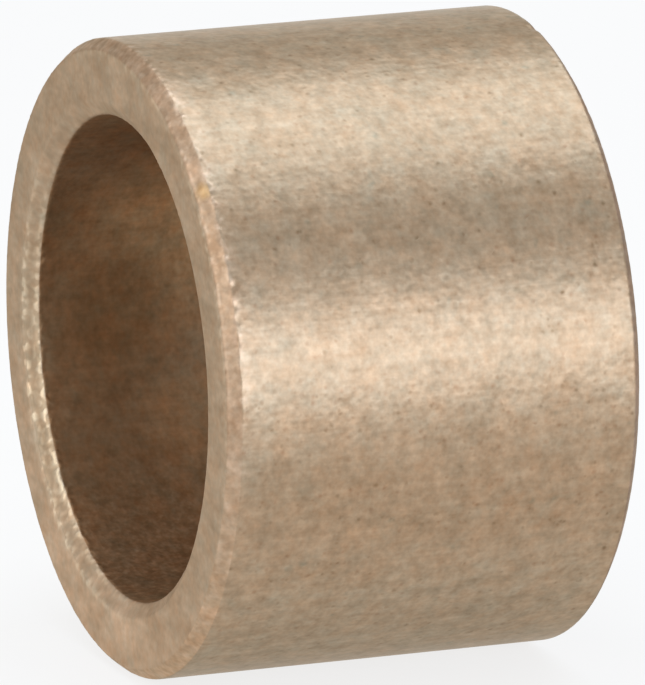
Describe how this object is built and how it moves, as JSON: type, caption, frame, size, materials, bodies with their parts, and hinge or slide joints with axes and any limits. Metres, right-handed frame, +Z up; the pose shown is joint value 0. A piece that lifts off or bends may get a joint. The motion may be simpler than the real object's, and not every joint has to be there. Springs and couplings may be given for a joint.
{
  "type": "sleeve bushing",
  "caption": "Plain straight bronze sleeve with a round bore and chamfered rims, which carries a turning shaft in a housing.",
  "frame": {"origin": "middle of the bore, halfway along the sleeve", "axes": "+Y along the bore, +Z up as the sleeve lies on its side, +X across it"},
  "size_m": [0.025, 0.017, 0.025],
  "materials": {
    "sintered_bronze": "porous oil-filled sintered bronze, pinkish brown, fine dark pores, satin sized outside, duller speckled ends"
  },
  "bodies": {
    "root": {"bushing_sleeve": "sintered_bronze"}
  },
  "joints": []
}
